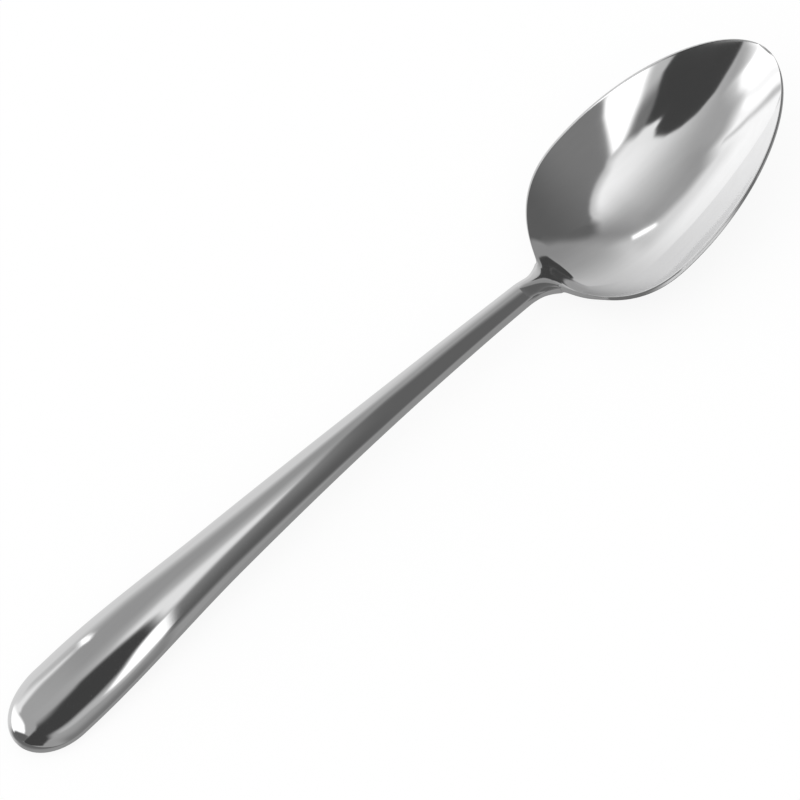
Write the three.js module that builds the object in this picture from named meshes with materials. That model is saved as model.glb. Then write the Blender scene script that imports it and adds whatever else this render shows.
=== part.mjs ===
// Dessert spoon, forged in one piece from stainless steel and polished all over, in millimetres.
// It lies on a table with +Z up: the base of the bowl and the flat under the handle end touch z = 0.
// +X runs from the handle end to the tip of the bowl, and the XZ plane halves the spoon.
// Each stretch of the forging is a mesh of its own, and neighbours meet face to face on a cross plane.

import * as THREE from 'three';

// Lengths of the stretches, from the handle end to the tip of the bowl
const handleEndLength = 14;
const gripLength = 36;
const stemLength = 50;
const neckLength = 25;
const bowlLength = 55;

// Widths at the places where the stretches meet, and of the bowl
const handleWidth = 16.6;
const gripWidth = 11.4;
const stemWidth = 6;
const neckWidth = 4.8;
const bowlWidth = 38.5;

// The handle end: a half ellipse in plan and a rounded nose in side view
const endRoundLength = 10.6;
const noseLength = 5;

// Section of the handle: a domed crown above its widest line and a flatter belly below it
const handleCrown = 3.8;
const gripCrown = 3.8;
const stemCrown = 2.9;
const neckCrown = 2.3;
const handleBelly = 1.4;
const gripBelly = 1.7;
const stemBelly = 1.7;
const neckBelly = 1.6;

// Depth that the belly loses to the flat that the handle end rests on
const restDepth = 0.3;

// Widest line of the handle in side view: level at its end, then a low arch to the heel of the bowl
const neckHeight = 5.8;
const handleArch = 2.4;

// The bowl: its depth is taken from the rim, and its rim climbs from the heel to the tip
const bowlWidestFromHeel = 21.4;
const bowlDeepestFromHeel = 23;
const bowlDepth = 7.6;
const tipRise = 10.7;
const rimThickness = 1;
const rimSwell = 0.42;
const wallThickness = 1.5;

// The heel: where the thick neck flares and thins out into the wall of the bowl
const neckFlare = 1.4;
const neckFlareLength = 3.8;
const heelBlendBefore = 7.5;
const heelBlendAfter = 5;
const heelRimThickness = 2.6;
const rimThinningLength = 4.5;
const heelThickening = 1.1;
const heelThickeningFromHeel = 3;
const heelThickeningLength = 6;

// Curve exponents: 2 is an ellipse or a parabola, and a higher one is fuller and squarer
const tipFullness = 1.9;
const heelFullness = 2.8;
const heelTaper = 1.5;
const neckFilletSharpness = 4.3;
const crownRoundness = 1.6;
const bellyFullness = 2.5;
const bowlFlatness = 2.3;

// Share of the bowl's depth over which the hollow sets in softly at the heel
const hollowSoftness = 0.15;

// Share of the half width that the crown and the belly cover, with the handle's edge outside it
const crownShare = 0.97;

// Mesh density: rings along each stretch, and points around each ring
const handleEndRings = 14;
const gripRings = 8;
const stemRings = 8;
const neckRings = 14;
const bowlHeelRings = 16;
const bowlTipRings = 18;
const pointsAcross = 19;
const pointsPerEdge = 3;

const steelColour = 0xc8c9cb;
const steelRoughness = 0.12;

// Places along the spoon, as distances from the handle end
const gripStart = handleEndLength;
const stemStart = gripStart + gripLength;
const neckStart = stemStart + stemLength;
const heel = neckStart + neckLength;
const bowlWidest = heel + bowlWidestFromHeel;
const tip = heel + bowlLength;

const between = (low, high, share) => low + (high - low) * share;

const clamp = THREE.MathUtils.clamp;

const smoothStep = THREE.MathUtils.smoothstep;

// Height of a superellipse quarter over the share of its base, 1 at the start and 0 at the end.
const superellipse = (share, baseExponent, heightExponent) =>
  Math.pow(Math.max(0, 1 - Math.pow(clamp(share, 0, 1), baseExponent)), 1 / heightExponent);

// Smooth curve along the handle through its values at the ends of the stretches, level at the first
// and the last: cubic pieces whose inner slopes are those of the parabola through three neighbours.
function alongHandle(atGrip, atStem, atNeck, atHeel, place) {
  const places = [gripStart, stemStart, neckStart, heel];
  const values = [atGrip, atStem, atNeck, atHeel];
  const last = places.length - 1;
  const gap = (i) => places[i + 1] - places[i];
  const chord = (i) => (values[i + 1] - values[i]) / gap(i);
  const slope = (i) => {
    if (i === 0 || i === last) return 0;
    return (chord(i - 1) * gap(i) + chord(i) * gap(i - 1)) / (gap(i - 1) + gap(i));
  };
  let i = 0;
  while (i < last - 1 && place > places[i + 1]) i += 1;
  const t = clamp((place - places[i]) / gap(i), 0, 1);
  const fromStart = (1 + 2 * t) * (1 - t) ** 2 * values[i] + t * (1 - t) ** 2 * gap(i) * slope(i);
  const fromEnd = t * t * (3 - 2 * t) * values[i + 1] + t * t * (t - 1) * gap(i) * slope(i + 1);
  return fromStart + fromEnd;
}

// Plan of the handle: rounded at the end, drawn in to the neck, flared at the heel, faded out in the bowl.
function handleHalfWidth(along) {
  const width = alongHandle(handleWidth, gripWidth, stemWidth, neckWidth, along);
  const roundedEnd = superellipse((endRoundLength - along) / endRoundLength, 2, 2);
  const flare = neckFlare * clamp(1 + (along - heel) / neckFlareLength, 0, 1) ** 2;
  const fade = 1 - clamp((along - heel) / bowlLength, 0, 1);
  return ((width / 2) * roundedEnd + flare) * fade;
}

// Plan of the bowl: an egg shape, fuller at its shoulders than at its tip.
function bowlHalfWidth(along) {
  const beyondWidest = along - bowlWidest;
  if (beyondWidest > 0) {
    const share = beyondWidest / (bowlLength - bowlWidestFromHeel);
    return (bowlWidth / 2) * superellipse(share, tipFullness, tipFullness);
  }
  return (bowlWidth / 2) * superellipse(-beyondWidest / bowlWidestFromHeel, heelFullness, heelTaper);
}

// The two plans run into each other with a fillet at the heel.
function halfWidth(along) {
  const sum = bowlHalfWidth(along) ** neckFilletSharpness + handleHalfWidth(along) ** neckFilletSharpness;
  return sum ** (1 / neckFilletSharpness);
}

// Share of the bowl's depth along its middle: two half parabolas that meet at the deepest place, the
// one at the heel with a soft start.
function depthShare(along) {
  const fromDeepest = along - heel - bowlDeepestFromHeel;
  if (fromDeepest > 0) return Math.max(0, 1 - (fromDeepest / (bowlLength - bowlDeepestFromHeel)) ** 2);
  const softened = (share) => (share + Math.hypot(share, hollowSoftness)) / 2;
  return softened(1 - (fromDeepest / bowlDeepestFromHeel) ** 2) / softened(1);
}

// Rim of the bowl in side view: a straight climb that sets the lowest place of the tilted bowl on the table.
function rimLine(along) {
  const outsideDepth = bowlDepth + wallThickness - rimThickness;
  const climbToDeepest = (tipRise * bowlDeepestFromHeel) / bowlLength;
  const atHeel = rimThickness + outsideDepth - climbToDeepest + climbToDeepest ** 2 / (4 * outsideDepth);
  return atHeel + (tipRise * (along - heel)) / bowlLength;
}

// Widest line of the handle in side view: level at the handle end, then a parabolic arch.
function widestLine(along) {
  const levelLength = handleEndLength;
  const run = along < levelLength ? along ** 2 / (2 * levelLength) : along - levelLength / 2;
  const share = run / (heel - levelLength / 2);
  return between(handleBelly - restDepth, neckHeight, share) + 4 * handleArch * share * (1 - share);
}

// Oval section of the handle, as y and z on its crown, its belly and its edge: superellipses that meet
// on the widest line. Across runs from 1 to -1, and turn from 0 at the crown to 1 at the belly.
function handleSection(along, width) {
  const nose = superellipse((noseLength - along) / noseLength, 2, 2);
  const crown = alongHandle(handleCrown, gripCrown, stemCrown, neckCrown, along) * nose;
  const belly = alongHandle(handleBelly, gripBelly, stemBelly, neckBelly, along) * nose;
  const line = widestLine(along);
  const crownHeight = (across) => superellipse(crownShare * Math.abs(across), 2, crownRoundness);
  const bellyDrop = (across) => superellipse(crownShare * Math.abs(across), bellyFullness, bellyFullness);
  return {
    top: (across) => [width * crownShare * across, line + crown * crownHeight(across)],
    under: (across) => [width * crownShare * across, line - belly * bellyDrop(across)],
    edge: (turn) => {
      const swing = Math.cos(Math.PI * turn);
      if (swing > 0) {
        const rise = crownHeight(1) * swing;
        return [width * superellipse(rise, crownRoundness, 2), line + crown * rise];
      }
      const drop = -bellyDrop(1) * swing;
      return [width * superellipse(drop, bellyFullness, bellyFullness), line - belly * drop];
    },
  };
}

// Thin-walled section of the bowl: a dished inside, a fuller outside, and a rounded rim that starts
// with the slope of the inside and ends with that of the outside.
function bowlSection(along, width) {
  const hollow = depthShare(along);
  const fromThickest = (along - heel - heelThickeningFromHeel) / heelThickeningLength;
  const depth = bowlDepth * hollow;
  const extraWall = (wallThickness - rimThickness) * hollow + heelThickening * Math.exp(-(fromThickest ** 2));
  const thinning = smoothStep(along, heel, heel + rimThinningLength);
  const halfThickness = between(heelRimThickness, rimThickness, thinning) / 2;
  const middle = rimLine(along) - halfThickness;
  const swell = Math.min(rimSwell, width / 2);
  const rimTurn = (drop) => Math.atan2(bowlFlatness * drop * swell, (width - swell) * halfThickness);
  const insideTurn = -rimTurn(depth);
  const outsideTurn = rimTurn(depth + extraWall);
  const tipRadius = rimThickness / 2;
  const closing = superellipse((tipRadius - (tip - along)) / tipRadius, 2, 2);
  const reach = (turn) => width - swell * (1 - Math.sin(turn));
  const fullness = (across) => 1 - Math.abs(across) ** bowlFlatness;
  return {
    top: (across) => {
      const height = halfThickness * Math.cos(insideTurn) - depth * fullness(across);
      return [reach(insideTurn) * across, middle + height * closing];
    },
    under: (across) => {
      const drop = halfThickness * Math.cos(outsideTurn) + (depth + extraWall) * fullness(across);
      return [reach(outsideTurn) * across, middle - drop * closing];
    },
    edge: (turn) => {
      const upper = between(insideTurn, Math.PI / 2, 2 * turn);
      const lower = between(Math.PI / 2, Math.PI - outsideTurn, 2 * turn - 1);
      const angle = turn < 0.5 ? upper : lower;
      return [reach(angle), middle + halfThickness * Math.cos(angle) * closing];
    },
  };
}

// Closed loop of one section, counter-clockwise seen from +X: top, right edge, underside, left edge.
// The oval of the handle turns into the wall of the bowl over the heel, point for point. No point lies
// below the table, which leaves the flat under the handle end.
function sectionLoop(along) {
  const width = halfWidth(along);
  const handle = handleSection(along, width);
  const bowl = bowlSection(along, width);
  const inBowl = smoothStep(along, heel - heelBlendBefore, heel + heelBlendAfter);
  const point = (part, place, side) => {
    const [handleY, handleZ] = handle[part](place);
    const [bowlY, bowlZ] = bowl[part](place);
    const z = between(handleZ, bowlZ, inBowl);
    return new THREE.Vector3(along - tip / 2, side * between(handleY, bowlY, inBowl), Math.max(z, 0));
  };
  const spread = 0.46 * Math.PI;
  const acrossPlaces = [];
  for (let i = 0; i < pointsAcross; i += 1) {
    acrossPlaces.push(Math.sin(between(spread, -spread, i / (pointsAcross - 1))) / Math.sin(spread));
  }
  const turns = [];
  for (let i = 1; i <= pointsPerEdge; i += 1) turns.push(i / (pointsPerEdge + 1));
  return [
    ...acrossPlaces.map((across) => point('top', across, 1)),
    ...turns.map((turn) => point('edge', turn, -1)),
    ...acrossPlaces.map((across) => point('under', -across, 1)),
    ...turns.map((turn) => point('edge', 1 - turn, 1)),
  ];
}

// Solid between two cross planes: sections lofted at the given places, closed by a flat face at a
// cross plane and by a point at an end of the spoon, where the section has no width.
function loft(places) {
  const first = places[0];
  const last = places[places.length - 1];
  const startsAtPoint = first === 0;
  const endsAtPoint = last === tip;
  const ringPlaces = places.slice(startsAtPoint ? 1 : 0, endsAtPoint ? -1 : undefined);
  const rings = ringPlaces.map(sectionLoop);
  const around = rings[0].length;
  const vertices = rings.flat();
  const faces = [];
  const next = (j) => (j + 1) % around;
  for (let i = 0; i < rings.length - 1; i += 1) {
    const here = i * around;
    const there = here + around;
    for (let j = 0; j < around; j += 1) {
      faces.push(here + j, here + next(j), there + next(j));
      faces.push(here + j, there + next(j), there + j);
    }
  }
  const closeWithFace = (ring, base, facesForward) => {
    const outline = ring.map((p) => new THREE.Vector2(p.y, p.z));
    for (const [a, b, c] of THREE.ShapeUtils.triangulateShape(outline, [])) {
      if (facesForward) faces.push(base + a, base + b, base + c);
      else faces.push(base + a, base + c, base + b);
    }
  };
  const lastBase = (rings.length - 1) * around;
  if (startsAtPoint) {
    vertices.push(sectionLoop(first)[0]);
    for (let j = 0; j < around; j += 1) faces.push(vertices.length - 1, next(j), j);
  } else {
    closeWithFace(rings[0], 0, false);
  }
  if (endsAtPoint) {
    vertices.push(sectionLoop(last)[0]);
    for (let j = 0; j < around; j += 1) faces.push(lastBase + j, lastBase + next(j), vertices.length - 1);
  } else {
    closeWithFace(rings[rings.length - 1], lastBase, true);
  }
  const geometry = new THREE.BufferGeometry().setFromPoints(vertices);
  geometry.setIndex(faces);
  geometry.computeVertexNormals();
  return geometry;
}

// Ring places from start to end, spaced by a function of the share from 0 to 1.
function ringPlaces(start, end, count, spacing) {
  const places = [];
  for (let i = 0; i < count; i += 1) places.push(between(start, end, spacing(i / count)));
  places.push(end);
  return places;
}

const evenly = (share) => share;
const closeAtStart = (share) => 1 - Math.cos((share * Math.PI) / 2);
const closeAtEnd = (share) => Math.sin((share * Math.PI) / 2);

function steelMesh(name, places) {
  const steel = new THREE.MeshStandardMaterial({
    color: steelColour,
    metalness: 1,
    roughness: steelRoughness,
  });
  const mesh = new THREE.Mesh(loft(places), steel);
  mesh.name = name;
  return mesh;
}

const handleEndPlaces = ringPlaces(0, gripStart, handleEndRings, closeAtStart);
const gripPlaces = ringPlaces(gripStart, stemStart, gripRings, evenly);
const stemPlaces = ringPlaces(stemStart, neckStart, stemRings, evenly);
const neckPlaces = ringPlaces(neckStart, heel, neckRings, closeAtEnd);
const bowlHeelPlaces = ringPlaces(heel, bowlWidest, bowlHeelRings, closeAtStart);
const bowlTipPlaces = ringPlaces(bowlWidest, tip, bowlTipRings, closeAtEnd);

const spoon = new THREE.Group();
spoon.add(steelMesh('handle_end', handleEndPlaces));
spoon.add(steelMesh('grip', gripPlaces));
spoon.add(steelMesh('stem', stemPlaces));
spoon.add(steelMesh('neck', neckPlaces));
spoon.add(steelMesh('bowl', [...bowlHeelPlaces.slice(0, -1), ...bowlTipPlaces]));

export default spoon;
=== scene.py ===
"""Polished steel dessert spoon on a white table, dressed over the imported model.

Every length is written in millimetres and goes into Blender in metres. The spoon lies along X,
handle end at -X and bowl at +X, and touches the table at z = 0.
"""

import math

import bpy
import numpy as np
from mathutils import Matrix, Vector


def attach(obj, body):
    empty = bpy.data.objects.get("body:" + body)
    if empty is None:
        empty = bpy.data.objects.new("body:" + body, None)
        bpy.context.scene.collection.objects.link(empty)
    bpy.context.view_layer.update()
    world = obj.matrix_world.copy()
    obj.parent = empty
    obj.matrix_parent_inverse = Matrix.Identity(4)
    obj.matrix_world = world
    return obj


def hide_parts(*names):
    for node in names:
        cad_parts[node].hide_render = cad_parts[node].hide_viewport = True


MM = 0.001
WHITE = (1.0, 1.0, 1.0, 1.0)

# Stretches of the forging, from the handle end to the tip of the bowl
HANDLE_END_LENGTH = 14.0
GRIP_LENGTH = 36.0
STEM_LENGTH = 50.0
NECK_LENGTH = 25.0
BOWL_LENGTH = 55.0

# Full widths in plan
HANDLE_WIDTH = 16.6
GRIP_WIDTH = 11.4
STEM_WIDTH = 6.0
NECK_WIDTH = 4.8
BOWL_WIDTH = 38.5
END_ROUND_LENGTH = 10.6
NECK_FLARE = 1.4
NECK_FLARE_LENGTH = 3.8

# Handle section: a domed top over a flatter belly, both measured from the widest line
HANDLE_CROWN = 3.8
GRIP_CROWN = 3.8
STEM_CROWN = 2.9
NECK_CROWN = 2.3
HANDLE_BELLY = 1.4
GRIP_BELLY = 1.7
STEM_BELLY = 1.7
NECK_BELLY = 1.6
NOSE_LENGTH = 5.0
REST_DEPTH = 0.3

# Side view of the handle
NECK_HEIGHT = 5.8
HANDLE_ARCH = 2.4

# Bowl
BOWL_WIDEST = 21.4
BOWL_DEEPEST = 23.0
BOWL_DEPTH = 7.6
TIP_RISE = 10.7
RIM_THICKNESS = 1.0
HEEL_RIM_THICKNESS = 2.6
RIM_THINNING_LENGTH = 4.5
WALL_THICKNESS = 1.5
RIM_SWELL = 0.42

# Heel, where the oval handle turns into the thin wall of the bowl
BLEND_BEFORE_HEEL = 6.0
BLEND_AFTER_HEEL = 4.0
HOLLOW_SOFTNESS = 0.15
HEEL_THICKENING = 1.1
HEEL_THICKENING_AT = 3.0
HEEL_THICKENING_LENGTH = 6.0

# Curve exponents: 2 is an ellipse, and a higher one is fuller
ELLIPSE = 2.0
TIP_FULLNESS = 1.9
HEEL_FULLNESS = 2.8
HEEL_TAPER = 1.5
NECK_FILLET = 4.3
CROWN_ROUNDNESS = 1.6
BELLY_FULLNESS = 2.5
BOWL_FLATNESS = 2.3

# Grid of the surface: how many rings and points it has, and how they crowd together
STATIONS = 380
POINTS_ACROSS = 91
POINTS_PER_EDGE = 30
EDGE_SHARE = 0.97
ACROSS_CROWDING = 0.92
HANDLE_CROWDING = 0.75
BOWL_CROWDING = 0.85
END_INSET = 0.004
LEAST_WIDTH = 1e-6

# Places along the spoon
GRIP_START = HANDLE_END_LENGTH
STEM_START = GRIP_START + GRIP_LENGTH
NECK_START = STEM_START + STEM_LENGTH
HEEL = NECK_START + NECK_LENGTH
TIP = HEEL + BOWL_LENGTH
HANDLE_PLACES = (GRIP_START, STEM_START, NECK_START, HEEL)

# Wear of the polish: where it starts and is complete, in shares of a ring's width and in height
WORN_WIDTH = (0.93, 1.0)
WORN_HEIGHT = (0.7, 0.1)
HANDLE_EDGE_WEAR = 0.35

# Noises in the finish: scale to the metre, squeeze along X, Y and Z, and detail
POLISHING_LINES = (900.0, (0.06, 1.0, 1.0), 3.0)
SMEARS = (60.0, (1.0, 1.0, 1.0), 4.0)
WAVES = (45.0, (0.6, 1.0, 1.0), 1.0)
SCUFFS = (700.0, (0.5, 1.0, 1.0), 5.0)
NOISE_RANGE = (0.3, 0.7)

# Steel: its grey, its change from line to line, its roughness, and its bumps as strength and height
STEEL_TINT = 0.80
LINE_TINTS = (-0.03, 0.02)
BLUE_CAST = 0.002
SMEARED_ROUGHNESS = (0.05, 0.10)
SCUFFED_ROUGHNESS = (0.0, 0.14)
LINE_BUMP = (0.05, 0.02)
WAVE_BUMP = (0.1, 0.2)

# Table
FLOOR_REACH = 40000.0
FLOOR_WHITENING = 0.88

# Camera, turned and tilted as the photograph was taken, in degrees and millimetres
CAMERA_AZIMUTH = -9.37
CAMERA_ELEVATION = 57.29
CAMERA_ROLL = -32.15
CAMERA_DISTANCE = 600.0
CAMERA_TARGET = (1.12, 3.10, 0.53)
CAMERA_LENS = 150.86
CAMERA_SENSOR = 36.0
CAMERA_NEAREST = 10.0

# Tent over the bowl, a dome of painted reflections that only the steel sees, with its angles in degrees
# from straight up
TENT_CENTRE = (62.0, 0.0, 5.0)
TENT_RADIUS = 500.0
TENT_RINGS = 190
TENT_SEGMENTS = 540
TENT_FIRST_RING = 0.05
TENT_LAST_RING = 93.0

# Hood over the handle, a half tunnel of painted reflections that only the steel sees
HOOD_RADIUS = 45.0
HOOD_START = -320.0
HOOD_CLOSING = 80.0
HOOD_END = 45.0
HOOD_ARCS = 460
HOOD_SEGMENTS = 240

# Strip beside the front of the rim and sheet under the spoon, which only the steel sees too and which
# paint reflections in it
RIM_CARD_START = 38.0
RIM_CARD_END = 74.0
RIM_CARD_GAP = 3.0
RIM_CARD_HEIGHT = 5.0
RIM_CARD_POINTS = 73
MAT_REACH = 480.0
MAT_LINES = 161
MAT_EVENNESS = 0.25
MAT_CROWDING = 5
MAT_HEIGHT = 0.02

# A reflection is a repeated one after more mirror bounces than this
REPEAT_REFLECTION = 1.5


def between(low, high, share):
    """Straight blend from low to high."""
    return low + (high - low) * share


def smooth_step(value, start, end):
    """S-shaped blend from 0 at start to 1 at end, level at both. It falls where start is above end."""
    share = np.clip((value - start) / (end - start), 0.0, 1.0)
    return share * share * (3.0 - 2.0 * share)


def superellipse(share, base, height):
    """Quarter of a superellipse: 1 where share is 0, and 0 where share is 1."""
    return np.clip(1.0 - np.clip(share, 0.0, 1.0) ** base, 0.0, 1.0) ** (1.0 / height)


def smooth_curve(places, values, along):
    """Cubic pieces through the points, level at both ends.

    The slope at an inner point is that of the parabola through it and its two neighbours.
    """
    places = np.asarray(places, float)
    values = np.asarray(values, float)
    gaps = np.diff(places)
    chords = np.diff(values) / gaps
    slopes = np.zeros_like(values)
    slopes[1:-1] = (chords[:-1] * gaps[1:] + chords[1:] * gaps[:-1]) / (gaps[:-1] + gaps[1:])
    along = np.clip(along, places[0], places[-1])
    piece = np.clip(np.searchsorted(places, along, side="right") - 1, 0, len(gaps) - 1)
    gap = gaps[piece]
    t = (along - places[piece]) / gap
    start = (1 + 2 * t) * (1 - t) ** 2 * values[piece] + t * (1 - t) ** 2 * gap * slopes[piece]
    end = t * t * (3 - 2 * t) * values[piece + 1] + t * t * (t - 1) * gap * slopes[piece + 1]
    return start + end


# Shape of the spoon


def half_width(along):
    """Plan of the spoon: the handle's outline and the bowl's egg, joined by a fillet at the heel.

    The handle is a smooth curve through its widths with an elliptic end and a parabolic flare
    before the heel. The bowl is two superellipse quarters on either side of its widest place. The
    two are summed as powers, which rounds the corner between them.
    """
    from_heel = along - HEEL
    handle = smooth_curve(HANDLE_PLACES, (HANDLE_WIDTH, GRIP_WIDTH, STEM_WIDTH, NECK_WIDTH), along) / 2
    handle = handle * superellipse((END_ROUND_LENGTH - along) / END_ROUND_LENGTH, ELLIPSE, ELLIPSE)
    flare = NECK_FLARE * np.clip(1 + from_heel / NECK_FLARE_LENGTH, 0, 1) ** 2
    handle = (handle + flare) * (1 - np.clip(from_heel / BOWL_LENGTH, 0, 1))
    beyond = (from_heel - BOWL_WIDEST) / (BOWL_LENGTH - BOWL_WIDEST)
    before = (BOWL_WIDEST - from_heel) / BOWL_WIDEST
    to_tip = superellipse(beyond, TIP_FULLNESS, TIP_FULLNESS)
    to_heel = superellipse(before, HEEL_FULLNESS, HEEL_TAPER)
    bowl = np.where(from_heel > BOWL_WIDEST, to_tip, to_heel) * BOWL_WIDTH / 2
    return (bowl ** NECK_FILLET + handle ** NECK_FILLET) ** (1 / NECK_FILLET)


def soft_start(share):
    """Share that fades out softly towards zero instead of turning negative: a branch of a hyperbola."""
    return (share + np.hypot(share, HOLLOW_SOFTNESS)) / 2


def hollow_share(along):
    """Depth of the bowl along its middle: two half parabolas that meet at the deepest place.

    The one at the heel starts softly.
    """
    from_deepest = along - HEEL - BOWL_DEEPEST
    to_tip = np.clip(1 - (from_deepest / (BOWL_LENGTH - BOWL_DEEPEST)) ** 2, 0, 1)
    to_heel = soft_start(1 - (from_deepest / BOWL_DEEPEST) ** 2) / soft_start(1.0)
    return np.where(from_deepest > 0, to_tip, to_heel)


def rim_line(along):
    """Top of the rim in side view: a straight climb that sets the base of the bowl on the table."""
    outside_depth = BOWL_DEPTH + WALL_THICKNESS - RIM_THICKNESS
    climb = TIP_RISE * BOWL_DEEPEST / BOWL_LENGTH
    at_heel = RIM_THICKNESS + outside_depth - climb + climb ** 2 / (4 * outside_depth)
    return at_heel + TIP_RISE * (along - HEEL) / BOWL_LENGTH


def widest_line(along):
    """Widest line of the handle in side view: level at the end, then a parabolic arch to the heel."""
    run = np.where(along < GRIP_START, along ** 2 / (2 * GRIP_START), along - GRIP_START / 2)
    share = run / (HEEL - GRIP_START / 2)
    return between(HANDLE_BELLY - REST_DEPTH, NECK_HEIGHT, share) + 4 * HANDLE_ARCH * share * (1 - share)


def handle_rings(along, width, across, turn):
    """Oval sections: half a superellipse above the widest line and half a fuller one below it.

    across runs from +1 to -1 over the top and the belly, and turn from 0 to 1 down an edge.
    Returns the half-loops top, edge and belly as pairs of y and z.
    """
    nose = superellipse((NOSE_LENGTH - along) / NOSE_LENGTH, ELLIPSE, ELLIPSE)
    crown = smooth_curve(HANDLE_PLACES, (HANDLE_CROWN, GRIP_CROWN, STEM_CROWN, NECK_CROWN), along) * nose
    belly = smooth_curve(HANDLE_PLACES, (HANDLE_BELLY, GRIP_BELLY, STEM_BELLY, NECK_BELLY), along) * nose
    line = widest_line(along)
    reach = EDGE_SHARE * np.abs(across)
    flat_y = width * EDGE_SHARE * across
    top_z = line + crown * superellipse(reach, ELLIPSE, CROWN_ROUNDNESS)
    belly_z = line - belly * superellipse(reach, BELLY_FULLNESS, BELLY_FULLNESS)
    upper = turn < 0.5
    swing = np.cos(math.pi * turn)
    top_end = superellipse(EDGE_SHARE, ELLIPSE, CROWN_ROUNDNESS)
    belly_end = superellipse(EDGE_SHARE, BELLY_FULLNESS, BELLY_FULLNESS)
    share = np.where(upper, top_end, belly_end) * np.abs(swing)
    height_power = np.where(upper, CROWN_ROUNDNESS, BELLY_FULLNESS)
    across_power = np.where(upper, ELLIPSE, BELLY_FULLNESS)
    edge_y = width * superellipse(share, height_power, across_power)
    edge_z = line + np.where(upper, crown * top_end, belly * belly_end) * swing
    return (flat_y, top_z), (edge_y, edge_z), (flat_y, belly_z)


def bowl_rings(along, width, across, turn):
    """Thin-walled sections: a dished inside, a fuller outside, and a rounded rim between them.

    The arc of the rim starts with the slope of the inside and ends with that of the outside.
    """
    hollow = hollow_share(along)
    depth = BOWL_DEPTH * hollow
    bump = np.exp(-((along - HEEL - HEEL_THICKENING_AT) / HEEL_THICKENING_LENGTH) ** 2)
    drop = depth + (WALL_THICKNESS - RIM_THICKNESS) * hollow + HEEL_THICKENING * bump
    thinning = smooth_step(along, HEEL, HEEL + RIM_THINNING_LENGTH)
    half = between(HEEL_RIM_THICKNESS, RIM_THICKNESS, thinning) / 2
    middle = rim_line(along) - half
    swell = np.minimum(RIM_SWELL, width / 2)
    inner = np.maximum(width - swell, LEAST_WIDTH)
    inside_turn = np.arctan(-BOWL_FLATNESS * depth / inner * swell / half)
    outside_turn = np.arctan(BOWL_FLATNESS * drop / inner * swell / half)
    fullness = 1 - np.abs(across) ** BOWL_FLATNESS
    inside_y = (width - swell * (1 - np.sin(inside_turn))) * across
    inside_z = half * np.cos(inside_turn) - depth * fullness
    outside_y = (width - swell * (1 - np.sin(outside_turn))) * across
    outside_z = -half * np.cos(outside_turn) - drop * fullness
    upper_angle = between(inside_turn, math.pi / 2, 2 * turn)
    lower_angle = between(math.pi / 2, math.pi - outside_turn, 2 * turn - 1)
    angle = np.where(turn < 0.5, upper_angle, lower_angle)
    rim_y = width - swell * (1 - np.sin(angle))
    rim_z = half * np.cos(angle)
    rim_radius = RIM_THICKNESS / 2
    closing = superellipse((rim_radius - (TIP - along)) / rim_radius, ELLIPSE, ELLIPSE)
    inside = (inside_y, middle + inside_z * closing)
    rim = (rim_y, middle + rim_z * closing)
    outside = (outside_y, middle + outside_z * closing)
    return inside, rim, outside


def crowded_ends(count, crowding, endpoint):
    """Shares from 0 to 1 that lie closer together at both ends: a straight run less a full sine wave."""
    t = np.linspace(0, 1, count, endpoint=endpoint)
    return t - crowding / (2 * math.pi) * np.sin(2 * math.pi * t)


def station_places():
    """Places of the rings, closer together at the handle end, around the heel and at the tip."""
    handle_count = STATIONS // 2
    handle = HEEL * crowded_ends(handle_count, HANDLE_CROWDING, False)
    bowl = HEEL + BOWL_LENGTH * crowded_ends(STATIONS - handle_count, BOWL_CROWDING, True)
    places = np.concatenate([handle, bowl])
    places[0] = END_INSET
    places[-1] = TIP - END_INSET
    return places


def spoon_grid():
    """Surface of the spoon as rings along it: oval rings that turn into bowl rings over the heel.

    Each ring runs over the top from +Y to -Y, down the edge, back under the belly and up the edge.
    No point is below the table, which leaves the flat under the handle end.
    """
    along = station_places()[:, None]
    width = half_width(along)
    spread = ACROSS_CROWDING * math.pi / 2
    across = (np.sin(np.linspace(spread, -spread, POINTS_ACROSS)) / math.sin(spread))[None, :]
    turn = (np.arange(1, POINTS_PER_EDGE + 1) / (POINTS_PER_EDGE + 1))[None, :]
    in_bowl = smooth_step(along, HEEL - BLEND_BEFORE_HEEL, HEEL + BLEND_AFTER_HEEL)
    handle = handle_rings(along, width, across, turn)
    bowl = bowl_rings(along, width, across, turn)
    loops = []
    for (handle_y, handle_z), (bowl_y, bowl_z) in zip(handle, bowl):
        loops.append((between(handle_y, bowl_y, in_bowl), between(handle_z, bowl_z, in_bowl)))
    (top_y, top_z), (edge_y, edge_z), (under_y, under_z) = loops
    y = np.concatenate([top_y, -edge_y, under_y[:, ::-1], edge_y[:, ::-1]], axis=1)
    z = np.concatenate([top_z, edge_z, under_z[:, ::-1], edge_z[:, ::-1]], axis=1)
    x = np.repeat(along - TIP / 2, y.shape[1], axis=1)
    return np.stack([x, y, np.maximum(z, 0.0)], axis=-1)


def wear_share(grid):
    """How much use has dulled the polish: most on the bowl's rim, less on the handle's sides.

    A point counts by how near it is to its ring's widest place, and by how near it is to the table.
    """
    aside = np.abs(grid[..., 1])
    at_edge = smooth_step(aside / aside.max(axis=1, keepdims=True), *WORN_WIDTH)
    on_bowl = smooth_step(grid[..., 0] + TIP / 2, HEEL, HEEL + RIM_THINNING_LENGTH)
    resting = smooth_step(grid[..., 2], *WORN_HEIGHT)
    return np.maximum(at_edge * between(HANDLE_EDGE_WEAR, 1.0, on_bowl), resting)


def placed(name, data):
    """New object of a mesh or a camera, at the origin."""
    thing = bpy.data.objects.new(name, data)
    bpy.context.collection.objects.link(thing)
    return thing


def set_point_values(mesh, name, values):
    """Gives a mesh one number for each point, under a name that a material can read."""
    attribute = mesh.attributes.new(name, "FLOAT", "POINT")
    attribute.data.foreach_set("value", values.ravel().astype(np.float32))


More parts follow.
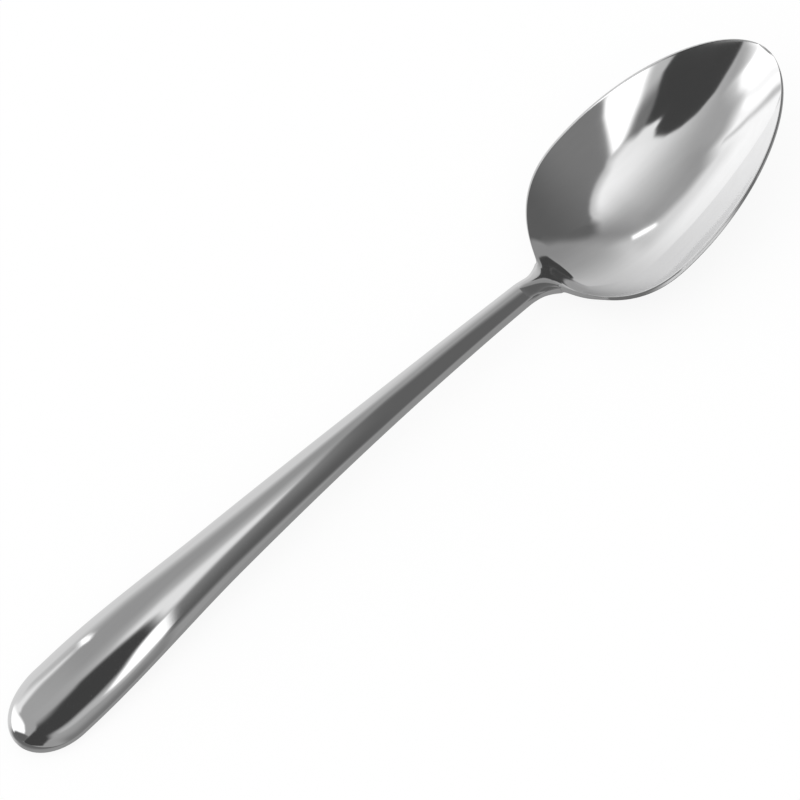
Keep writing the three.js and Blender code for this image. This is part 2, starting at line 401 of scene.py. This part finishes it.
def closed_tube(name, grid, wear):
    """Mesh of a grid of rings, closed around and ended by a worn point at each end."""
    rings, around, _ = grid.shape
    ends = np.stack([grid[0].mean(axis=0), grid[-1].mean(axis=0)])
    points = np.concatenate([grid.reshape(-1, 3), ends]) * MM
    ring = np.arange(rings - 1)[:, None] * around
    here = np.arange(around)[None, :]
    there = (here + 1) % around
    quads = np.stack([ring + here, ring + there, ring + around + there, ring + around + here], axis=-1)
    start = rings * around
    last = (rings - 1) * around
    near = np.stack([np.full(around, start), there[0], here[0]], axis=-1)
    far = np.stack([np.full(around, start + 1), last + here[0], last + there[0]], axis=-1)
    faces = quads.reshape(-1, 4).tolist() + near.tolist() + far.tolist()
    mesh = bpy.data.meshes.new(name)
    mesh.from_pydata(points.tolist(), [], faces)
    mesh.polygons.foreach_set("use_smooth", np.ones(len(mesh.polygons), dtype=bool))
    set_point_values(mesh, "wear", np.append(wear, np.ones(len(ends))))
    mesh.update()
    return placed(name, mesh)


# Materials


def new_material(name):
    """Empty node material, its node tree and its output."""
    material = bpy.data.materials.new(name)
    material.use_nodes = True
    tree = material.node_tree
    tree.nodes.clear()
    output = tree.nodes.new("ShaderNodeOutputMaterial")
    return material, tree, output


def read_point_values(tree, name):
    """Numbers that the mesh holds for its points under a name."""
    reader = tree.nodes.new("ShaderNodeAttribute")
    reader.attribute_name = name
    return reader.outputs["Fac"]


def noise(tree, coordinates, scale, squeeze, detail):
    """Noise on Object coordinates. Less squeeze along an axis draws it out along that axis."""
    mapping = tree.nodes.new("ShaderNodeMapping")
    mapping.inputs["Scale"].default_value = squeeze
    tree.links.new(coordinates, mapping.inputs["Vector"])
    texture = tree.nodes.new("ShaderNodeTexNoise")
    texture.inputs["Scale"].default_value = scale
    texture.inputs["Detail"].default_value = detail
    tree.links.new(mapping.outputs["Vector"], texture.inputs["Vector"])
    return texture.outputs["Fac"]


def ranged(tree, value, low, high):
    """Noise value, in the range that a noise mostly keeps to, spread from low to high."""
    node = tree.nodes.new("ShaderNodeMapRange")
    node.inputs["From Min"].default_value = NOISE_RANGE[0]
    node.inputs["From Max"].default_value = NOISE_RANGE[1]
    node.inputs["To Min"].default_value = low
    node.inputs["To Max"].default_value = high
    tree.links.new(value, node.inputs["Value"])
    return node.outputs["Result"]


def combined(tree, operation, first, second):
    """Result of a sum, a product or the like of two node values."""
    node = tree.nodes.new("ShaderNodeMath")
    node.operation = operation
    tree.links.new(first, node.inputs[0])
    tree.links.new(second, node.inputs[1])
    return node.outputs["Value"]


def with_number(tree, operation, value, number):
    """Result of a product, a comparison or the like of a node value and a number."""
    node = tree.nodes.new("ShaderNodeMath")
    node.operation = operation
    node.inputs[1].default_value = number
    tree.links.new(value, node.inputs[0])
    return node.outputs["Value"]


def bumped(tree, relief, strength, height):
    """Bump node that raises the surface by a relief from 0 to 1."""
    node = tree.nodes.new("ShaderNodeBump")
    node.inputs["Strength"].default_value = strength
    node.inputs["Distance"].default_value = height * MM
    tree.links.new(relief, node.inputs["Height"])
    return node


def steel_colour(change):
    """The steel's grey, a little lighter or darker, with its blue cast."""
    grey = STEEL_TINT + change
    return (grey, grey, grey + BLUE_CAST, 1.0)


def polished_steel():
    """Mirror-polished steel.

    It has faint polishing lines along the spoon, soft waves, fine smears and scuffed edges.
    """
    material, tree, output = new_material("polished_steel")
    steel = tree.nodes.new("ShaderNodeBsdfPrincipled")
    steel.inputs["Metallic"].default_value = 1.0
    coordinates = tree.nodes.new("ShaderNodeTexCoord").outputs["Object"]
    lines = noise(tree, coordinates, *POLISHING_LINES)
    smears = noise(tree, coordinates, *SMEARS)
    waves = noise(tree, coordinates, *WAVES)
    scuffs = noise(tree, coordinates, *SCUFFS)
    wear = read_point_values(tree, "wear")
    worn = combined(tree, "MULTIPLY", wear, ranged(tree, scuffs, *SCUFFED_ROUGHNESS))
    roughness = combined(tree, "ADD", ranged(tree, smears, *SMEARED_ROUGHNESS), worn)
    tree.links.new(roughness, steel.inputs["Roughness"])
    tint = tree.nodes.new("ShaderNodeMix")
    tint.data_type = "RGBA"
    tint.inputs["A"].default_value = steel_colour(LINE_TINTS[0])
    tint.inputs["B"].default_value = steel_colour(LINE_TINTS[1])
    tree.links.new(lines, tint.inputs["Factor"])
    tree.links.new(tint.outputs["Result"], steel.inputs["Base Color"])
    fine = bumped(tree, combined(tree, "ADD", lines, worn), *LINE_BUMP)
    broad = bumped(tree, waves, *WAVE_BUMP)
    tree.links.new(fine.outputs["Normal"], broad.inputs["Normal"])
    tree.links.new(broad.outputs["Normal"], steel.inputs["Normal"])
    tree.links.new(steel.outputs["BSDF"], output.inputs["Surface"])
    return material


def white_table():
    """White table top. Eyes and mirrors see it nearly white, with a part of the spoon's shadow."""
    material, tree, output = new_material("white_table")
    paper = tree.nodes.new("ShaderNodeBsdfDiffuse")
    paper.inputs["Color"].default_value = WHITE
    white = tree.nodes.new("ShaderNodeEmission")
    white.inputs["Strength"].default_value = 1.0
    rays = tree.nodes.new("ShaderNodeLightPath")
    seen = rays.outputs["Is Camera Ray"]
    for kind in ("Is Glossy Ray", "Is Transmission Ray"):
        seen = combined(tree, "MAXIMUM", seen, rays.outputs[kind])
    blend = tree.nodes.new("ShaderNodeMixShader")
    tree.links.new(with_number(tree, "MULTIPLY", seen, FLOOR_WHITENING), blend.inputs["Fac"])
    tree.links.new(paper.outputs["BSDF"], blend.inputs[1])
    tree.links.new(white.outputs["Emission"], blend.inputs[2])
    tree.links.new(blend.outputs["Shader"], output.inputs["Surface"])
    return material


def pale_floor():
    """Large square table top at z = 0."""
    reach = FLOOR_REACH * MM
    corners = [(-reach, -reach, 0), (reach, -reach, 0), (reach, reach, 0), (-reach, reach, 0)]
    mesh = bpy.data.meshes.new("table")
    mesh.from_pydata(corners, [], [(0, 1, 2, 3)])
    mesh.materials.append(white_table())
    return placed("table", mesh)


# The cards paint the reflections in the steel: its highlights, and its dark and shaded reflections.
# Cards around the spoon that only its steel sees, in the order in which they cover each other.
# Each has a name, the softness of its edge, its grey as it shows in the steel, where 255 is white,
# and its outline. Some greys change over the card: the changes give how much is added, and the steps
# that bring it in, each with its axis and the places where it starts and is complete.

# Tent of painted reflections over the bowl: degrees from straight up, +X to the right and +Y upwards
# Its light cards are painted highlights, and its grey and dark cards are painted dark reflections and
# shade
TENT_WALL = 250
TENT_CARDS = (
    ("overhead", 9, 226, (
        (-60, 0), (-42, 26), (-38, 27), (-36, 37), (-29, 43), (-25, 41.5), (-21.5, 47.5), (-15, 48),
        (-10, 46.8), (-4, 45), (0, 43), (8, 39), (19, 33), (30, 23), (42, 12), (20, -30), (-60, -30))),
    ("shade", 7, 95, (
        (16, 5), (15.5, 20), (19, 26), (24, 25), (30, 21), (37, 15), (51, 7), (90, 2), (90, -40),
        (20, -40))),
    ("dark_edge", 6, 190, (
        (-17, -16), (-12, -14.5), (-8, -10), (-4, -7.5), (0, -4.5), (4, -0.5), (7.5, 4.5), (10.5, 10),
        (12, 14), (14, 13), (18, 4), (30, -20), (30, -60), (-15, -60))),
    ("dark_room", 2.5, 118, (
        (-12.5, -20), (-8, -15), (-4, -12.5), (0, -9.3), (4, -5.6), (8, -1), (12, 5), (14, 9), (15, 13),
        (18, 16), (34, 12), (46, 4), (120, 0), (120, -120), (-27, -120), (-20.5, -50), (-17, -41),
        (-15, -30))),
    ("door", 2, 280, (
        (-18, -19.5), (-13, -18.5), (-15, -30), (-17, -41), (-20.5, -50), (-28, -53), (-37, -46),
        (-30, -37), (-25, -28))),
    ("behind_door", 8, 150, (
        (-20, -50), (-27, -120), (-120, -120), (-120, -32), (-46, -34), (-37, -45), (-28, -50))),
    ("grey_strip", 5, 112, (
        (-17.5, -18.8), (-20.2, -22.2), (-24, -28), (-30.5, -37), (-34.5, -41), (-38, -46), (-52, -36),
        (-40, -26), (-34, -22), (-29, -17), (-24, -14.5), (-20, -14.5))),
    ("black_flag", 1.6, 62, (
        (-22.8, -2), (-24, 5), (-27, 11), (-31, 15.5), (-36, 17), (-42, 13.5), (-48, 8.5), (-56, 3),
        (-75, 0), (-120, -2), (-120, -30), (-60, -32), (-39, -33.5), (-34.5, -32), (-31.8, -28),
        (-29.8, -24), (-26, -18.5), (-23.2, -15.2), (-23.8, -12.8), (-26.5, -9.4), (-26.2, -7.4),
        (-24.3, -6.4))),
    ("white_side", 2, 270, (
        (-42, 28), (-39, 28), (-36.3, 34), (-36, 40), (-38, 48), (-42, 66), (-45, 95), (-120, 95),
        (-120, 12), (-66, 10), (-47, 24))),
    ("white_pleat", 2, 266, (
        (-34.5, 41), (-32.8, 43), (-32.3, 52), (-33.3, 62), (-35, 75), (-36, 95), (-41, 95), (-39.5, 75),
        (-36.5, 60), (-35, 50))),
    ("grey_pleat", 2, 190, (
        (-27, 45), (-26, 46), (-29.5, 58), (-30, 66), (-30, 90), (-33.5, 90), (-33, 70), (-30.5, 54))),
    ("window", 1.5, 285, ((8.2, 39.2), (2, 41.7), (-4, 45.5), (-3, 48.3), (3, 45.5), (9.2, 42.2))),
    ("dark_corner", 2, 62, (
        (64, 26), (60, 31), (57, 34), (53.5, 37), (51, 40), (50, 43), (50.5, 47), (52, 50), (55, 51.5),
        (60, 54), (80, 56), (80, 26))),
)

# steep is the angle from straight up, and climb the share of the way up to the ridge of the overhead card
TENT_CHANGES = {
    "wall": (
        (-62, (("right", -30, 45),)),
        (-52, (("right", 0, 25), ("up", 66, 22))),
        (-26, (("right", -29, -22), ("right", 16, 4), ("up", 67, 52))),
    ),
    "overhead": (
        (15, (("right", -26, -4),)),
        (-68, (("climb", 0, 1),)),
        (-41, (("climb", 0, 1), ("right", -20, 20))),
        (-12, (("climb", 0, 1), ("up", 27, 37), ("right", -28, -22), ("right", 2, -6))),
    ),
    "dark_room": (
        (-28, (("right", -10, 45),)),
        (35, (("steep", 72, 92),)),
    ),
    "grey_strip": (
        (70, (("up", -24, -34),)),
    ),
}

# Ridge of the overhead card, a flat parabola, and the foot from which its shade climbs
RIDGE_TOP = 39.0
RIDGE_TOP_AT = -6.0
RIDGE_BEND = 0.0135
RIDGE_FOOT = -4.0
RIDGE_FOOT_CHANGES = ((6, (("right", -4, 8),)),)

# Tent as one wall of the bowl shows it in the other, a painted repeated reflection, with two darker greys
# of painted shade laid over it
TENT_AGAIN = 238
TENT_AGAIN_CHANGES = (
    (-30, (("right", -45, 5),)),
    (-60, (("right", 0, 40),)),
)
TENT_AGAIN_LAYERS = (
    (110, (("up", 5, -20),)),
    (62, (("right", 31, 34), ("up", 9, 6))),
)

# Hood of painted reflections over the handle: millimetres along X, and degrees from straight up towards
# +Y
# Its light cards are painted highlights, spark a painted glint, and its grey and dark cards painted dark
# reflections and shade
HOOD_WALL = 204
HOOD_CARDS = (
    ("grey_roof", 28, 146, (
        (-320, 66), (-62, 66), (-45, 57), (-30, 47), (10, 33), (80, 28), (80, -60), (-320, -60))),
    ("lamp_glow", 30, 190, (
        (-80, 16), (-58, 17), (-40, 9), (-22, 4), (-12, -8), (-22, -22), (-80, -22))),
    ("dark_room", 13, 124, (
        (-62, -20), (-30, -17.5), (-20, -13), (-8, -2), (2, 0), (12, -20), (12, -140), (-62, -140))),
    ("neck_room", 32, 93, (
        (-6, -8), (4, -2), (28, -5), (42, -16), (80, -20), (80, -140), (-6, -140))),
    ("lamp", 12, 222, (
        (-71, 12), (-60, 11), (-47, 3), (-32, -3), (-26, -10), (-32, -15), (-71, -16))),
    ("grey_side", 15, 146, (
        (-60, -54), (-42, -62), (-20, -74), (0, -84), (14, -87), (28, -84), (42, -79), (80, -76),
        (80, -140), (-60, -140))),
    ("end_side", 12, 149, (
        (-320, -62), (-110, -50), (-90, -45), (-60, -52), (-60, -140), (-320, -140))),
    ("light_tail", 6, 178, (
        (-60, -40), (-76, -34), (-86, -32.5), (-97, -35), (-98, -40), (-88, -41.5), (-80, -47),
        (-72, -52), (-62, -52), (-58, -50))),
    ("white_board", 5, 268, (
        (-64, -17), (-58.5, -20), (-57, -45), (-60, -47), (-66, -46.5), (-72, -45), (-77, -43),
        (-79, -39), (-76, -34), (-73, -29), (-70, -22))),
    ("black_flag", 7, 62, (
        (-89, 6), (-84, 10), (-79, 9), (-73, 6.5), (-66, 1.5), (-63.5, -4), (-62.5, -17), (-69, -20),
        (-74, -27), (-82, -29), (-92, -29), (-98, -30.5), (-103, -34.5), (-109, -46), (-122, -56),
        (-131, -62), (-145, -76), (-320, -95), (-320, -8), (-184, -12), (-151, -14), (-129, -13),
        (-106, -10), (-97, -5), (-92, 1))),
    ("streak_shade", 8, 180, ((-90, 68), (-86, 67), (-78, 64), (-78, 71), (-88, 75))),
    ("streak", 9, 226, (
        (-104, 84), (-104, 55), (-98, 49), (-92, 52), (-86, 55), (-79, 55.5), (-78, 60), (-86, 63),
        (-90, 67), (-95, 74), (-99, 84))),
    ("white_end", 8, 262, (
        (-101, 95), (-101, 80), (-102.5, 65), (-104, 53), (-105, 42), (-107, 32), (-110, 24), (-113, 19),
        (-122, 13), (-131, 8), (-150, 6), (-170, 20), (-170, 95))),
    ("dark_end", 20, 92, (
        (-320, -14), (-320, 95), (-162, 95), (-160, 70), (-163, 40), (-160, 27), (-152, 5), (-150, -14))),
    ("spark", 3, 290, ((-77, 56), (-75, 52), (-73.5, 57), (-73.8, 65), (-75.5, 67))),
)

# Steps that come in and go out at the neck
AT_NECK = ("along", -10, 18)
BEFORE_NECK = ("along", 18, -10)

# depth is the share of the way from the top of the dark room to its deepest place
HOOD_CHANGES = {
    "wall": (
        (-26, (AT_NECK, ("angle", 80, 35))),
    ),
    "grey_roof": (
        (7, (AT_NECK,)),
        (11, (("along", -78, -90),)),
    ),
    "dark_room": (
        (-16, (BEFORE_NECK, ("along", -20, 20))),
        (-36, (BEFORE_NECK, ("depth", 0, 1))),
        (-31, (AT_NECK,)),
    ),
    "end_side": (
        (-32, (("angle", -50, -76), ("along", -112, -96))),
    ),
}

# Dark room of the hood: angle of its top, and of its deepest place at two places along X
ROOM_TOP = -12.0
ROOM_DEEPEST = (-56.0, -86.0)
ROOM_DEEPEST_ALONG = (-30.0, 30.0)

# Strip beside the front of the rim, a painted dark reflection with a lighter middle
RIM_CARD_GREY = 105
RIM_CARD_LAYERS = (
    (200, (("along", 42, 49), ("along", 71, 62))),
)

# Sheet under the spoon that paints the table's reflection with painted shade: grey in front, light
# behind, dark in front of the heel and past the handle end.
# slant is measured across a line that leaves the handle end towards the back.
PAINTED_TABLE_GREY = 140
PAINTED_TABLE_LAYERS = (
    (205, (("y", -2, 2),)),
    (88, (("y", 0, -4), ("x", 34, 40), ("x", 70, 55))),
    (98, (("x", -90, -98), ("slant", 3, -3))),
)
MAT_SLANT = 0.85
MAT_SLANT_AT = -88.0


def share_of(steps, axes):
    """Product of smooth steps, each along its axis."""
    share = 1.0
    for axis, start, end in steps:
        share = share * smooth_step(axes[axis], start, end)
    return share


def changed(grey, changes, axes):
    """Grey with its changes added, each by the share that its steps bring in."""
    for change, steps in changes:
        grey = grey + change * share_of(steps, axes)
    return grey


def layered(grey, layers, axes):
    """Grey with other greys laid over it in turn, each by the share that its steps bring in."""
    for layer, steps in layers:
        grey = between(grey, layer, share_of(steps, axes))
    return grey


def inside_outline(x, y, outline, softness):
    """1 inside a closed outline and 0 outside, blended over the softness across its edge.

    The distance is to the nearest side, and the sign comes from how often a ray crosses the sides.
    """
    corners = np.asarray(outline, float)
    nearest = np.full(x.shape, np.inf)
    inside = np.zeros(x.shape, bool)
    for (ax, ay), (bx, by) in zip(corners, np.roll(corners, -1, axis=0)):
        dx, dy = bx - ax, by - ay
        t = np.clip(((x - ax) * dx + (y - ay) * dy) / (dx * dx + dy * dy), 0, 1)
        nearest = np.minimum(nearest, np.hypot(x - ax - t * dx, y - ay - t * dy))
        if dy != 0:
            crosses = (ay > y) != (by > y)
            inside ^= crosses & (x < ax + dx * (y - ay) / dy)
    signed = np.where(inside, nearest, -nearest)
    return smooth_step(signed, -softness / 2, softness / 2)


def covered(wall, cards, changes, axes, x, y):
    """Greys of a wall after its cards are laid over it in turn, at the places x and y on it."""
    grey = changed(wall, changes["wall"], axes)
    for name, softness, card_grey, outline in cards:
        card = changed(card_grey, changes.get(name, ()), axes)
        grey = between(grey, card, inside_outline(x, y, outline, softness))
    return grey


def tent_greys(right, up):
    """Painted reflections of a tent over the bowl: a light wall that darkens to the right, with its
    cards.

    The ridge of the overhead card is a flat parabola. Returns the greys that show at first sight
    and the greys that one wall of the bowl shows in the other.
    """
    axes = {"right": right, "up": up, "steep": np.hypot(right, up)}
    ridge = RIDGE_TOP - RIDGE_BEND * (right - RIDGE_TOP_AT) ** 2
    foot = changed(RIDGE_FOOT, RIDGE_FOOT_CHANGES, axes)
    axes["climb"] = (up - foot) / (ridge - foot)
    greys = covered(TENT_WALL, TENT_CARDS, TENT_CHANGES, axes, right, up)
    again = layered(changed(TENT_AGAIN, TENT_AGAIN_CHANGES, axes), TENT_AGAIN_LAYERS, axes)
    return greys, again


def hood_greys(along, angle):
    """Painted reflections of a hood over the handle: a light wall with its cards."""
    deepest = np.interp(along, ROOM_DEEPEST_ALONG, ROOM_DEEPEST)
    depth = (angle - ROOM_TOP) / (deepest - ROOM_TOP)
    axes = {"along": along, "angle": angle, "depth": depth}
    return covered(HOOD_WALL, HOOD_CARDS, HOOD_CHANGES, axes, along, angle)


def to_linear(grey):
    """Linear light of a screen grey from 0 to 255, by the standard curve, continued past white."""
    share = grey / 255.0
    return np.where(share <= 0.04045, share / 12.92, ((share + 0.055) / 1.055) ** 2.4)


def card_glow(name):
    """Glow of a card that paints a reflection in the steel, as strong as its points say for a first and
    for a repeated reflection.
    """
    material, tree, output = new_material(name)
    bounces = tree.nodes.new("ShaderNodeLightPath").outputs["Glossy Depth"]
    repeated = with_number(tree, "GREATER_THAN", bounces, REPEAT_REFLECTION)
    strength = tree.nodes.new("ShaderNodeMix")
    tree.links.new(repeated, strength.inputs["Factor"])
    tree.links.new(read_point_values(tree, "first"), strength.inputs["A"])
    tree.links.new(read_point_values(tree, "again"), strength.inputs["B"])
    shine = tree.nodes.new("ShaderNodeEmission")
    tree.links.new(strength.outputs["Result"], shine.inputs["Strength"])
    tree.links.new(shine.outputs["Emission"], output.inputs["Surface"])
    material.cycles.emission_sampling = "NONE"
    return material


def glowing_card(name, x, y, z, greys, greys_again):
    """Sheet on a grid of points, seen only in the steel, that glows in its greys to paint the steel's
    reflections.

    In a repeated reflection, of one wall of the bowl in the other, it glows in its other greys.
    """
    grid = np.stack(np.broadcast_arrays(x, y, z), axis=-1)
    rows, columns, _ = grid.shape
    corner = np.arange(rows - 1)[:, None] * columns + np.arange(columns - 1)[None, :]
    quads = np.stack([corner, corner + 1, corner + columns + 1, corner + columns], axis=-1)
    mesh = bpy.data.meshes.new(name)
    mesh.from_pydata((grid.reshape(-1, 3) * MM).tolist(), [], quads.reshape(-1, 4).tolist())
    # The glow is the grey to be seen in the steel divided by the steel's tint, once or twice: a painted
    # reflection
    set_point_values(mesh, "first", to_linear(greys) / STEEL_TINT)
    set_point_values(mesh, "again", to_linear(greys_again) / STEEL_TINT ** 2)
    mesh.materials.append(card_glow(name))
    card = placed(name, mesh)
    card.visible_camera = False
    card.visible_diffuse = False
    card.visible_transmission = False
    card.visible_volume_scatter = False
    card.visible_shadow = False
    return card


def reflection_tent():
    """Dome over the bowl whose glow paints the reflections in it: rings of equal angle from straight up.
    """
    steep = np.linspace(TENT_FIRST_RING, TENT_LAST_RING, TENT_RINGS)[:, None]
    turn = np.linspace(0, 2 * math.pi, TENT_SEGMENTS + 1)[None, :]
    across = TENT_RADIUS * np.sin(np.radians(steep))
    x = TENT_CENTRE[0] + across * np.cos(turn)
    y = TENT_CENTRE[1] + across * np.sin(turn)
    z = TENT_CENTRE[2] + TENT_RADIUS * np.cos(np.radians(steep))
    greys, greys_again = tent_greys(steep * np.cos(turn), steep * np.sin(turn))
    return glowing_card("reflection_tent", x, y, z, greys, greys_again)


def handle_hood():
    """Half tunnel of painted reflections over the handle: arcs around the X axis from table to table.

    It closes to a point far behind the handle end, along a quarter of an ellipse.
    """
    places = np.linspace(HOOD_START, HOOD_END, HOOD_ARCS)
    angles = np.linspace(-90, 90, HOOD_SEGMENTS + 1)
    along, angle = np.meshgrid(places, angles, indexing="ij")
    closed = (HOOD_START + HOOD_CLOSING - along) / HOOD_CLOSING
    radius = HOOD_RADIUS * superellipse(closed, ELLIPSE, ELLIPSE)
    y = radius * np.sin(np.radians(angle))
    z = radius * np.cos(np.radians(angle))
    greys = hood_greys(along, angle)
    return glowing_card("handle_hood", along, y, z, greys, greys)


def rim_card():
    """Low strip that follows the front of the bowl's rim a little outside it, and paints a dark
    reflection along the rim.
    """
    places = np.linspace(RIM_CARD_START, RIM_CARD_END, RIM_CARD_POINTS)
    x, rise = np.meshgrid(places, (-1, 0, 1), indexing="ij")
    along = x + TIP / 2
    y = -(half_width(along) + RIM_CARD_GAP)
    z = rim_line(along) + RIM_CARD_HEIGHT * rise
    greys = layered(RIM_CARD_GREY, RIM_CARD_LAYERS, {"along": x})
    return glowing_card("rim_card", x, y, z, greys, greys)


def painted_table_reflection():
    """Flat sheet just over the table that paints the table's reflection with its shade, on a net that is
    closer near the spoon.
    """
    share = np.linspace(-1, 1, MAT_LINES)
    places = MAT_REACH * between(share ** MAT_CROWDING, share, MAT_EVENNESS)
    x, y = np.meshgrid(places, places, indexing="ij")
    slant = y + MAT_SLANT * (x - MAT_SLANT_AT)
    greys = layered(PAINTED_TABLE_GREY, PAINTED_TABLE_LAYERS, {"x": x, "y": y, "slant": slant})
    return glowing_card("painted_table_reflection", x, y, MAT_HEIGHT, greys, greys)


# Light and camera


def white_world():
    """Even white light from all round."""
    world = bpy.data.worlds.new("white_room")
    world.use_nodes = True
    background = world.node_tree.nodes["Background"]
    background.inputs["Color"].default_value = WHITE
    background.inputs["Strength"].default_value = 1.0
    bpy.context.scene.world = world


def photo_camera():
    """Camera at an azimuth, an elevation and a roll around its target."""
    azimuth = math.radians(CAMERA_AZIMUTH)
    elevation = math.radians(CAMERA_ELEVATION)
    roll = math.radians(CAMERA_ROLL)
    back = Vector((
        math.sin(azimuth) * math.cos(elevation),
        -math.cos(azimuth) * math.cos(elevation),
        math.sin(elevation),
    ))
    right = Vector((0.0, 0.0, 1.0)).cross(back).normalized()
    up = back.cross(right)
    side = right * math.cos(roll) + up * math.sin(roll)
    top = up * math.cos(roll) - right * math.sin(roll)
    data = bpy.data.cameras.new("photo_camera")
    data.lens = CAMERA_LENS
    data.sensor_width = CAMERA_SENSOR
    data.clip_start = CAMERA_NEAREST * MM
    camera = placed("photo_camera", data)
    turn = Matrix((side, top, back)).transposed().to_4x4()
    place = Vector(CAMERA_TARGET) + back * CAMERA_DISTANCE
    camera.matrix_world = Matrix.Translation(place * MM) @ turn
    bpy.context.scene.camera = camera


# The scene

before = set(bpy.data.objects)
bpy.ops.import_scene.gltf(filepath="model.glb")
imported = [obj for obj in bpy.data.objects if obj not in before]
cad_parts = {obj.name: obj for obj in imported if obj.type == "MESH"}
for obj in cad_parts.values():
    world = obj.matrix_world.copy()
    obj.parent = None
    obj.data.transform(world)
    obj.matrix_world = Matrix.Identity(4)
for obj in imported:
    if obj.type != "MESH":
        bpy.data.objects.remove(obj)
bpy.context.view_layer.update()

bpy.context.scene.view_settings.view_transform = "Standard"
photo_camera()
white_world()
pale_floor()
reflection_tent()
handle_hood()
rim_card()
painted_table_reflection()

surface = spoon_grid()
spoon = closed_tube("spoon_steel", surface, wear_share(surface))
spoon.data.materials.append(polished_steel())
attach(spoon, "root")
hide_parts("handle_end", "grip", "stem", "neck", "bowl")
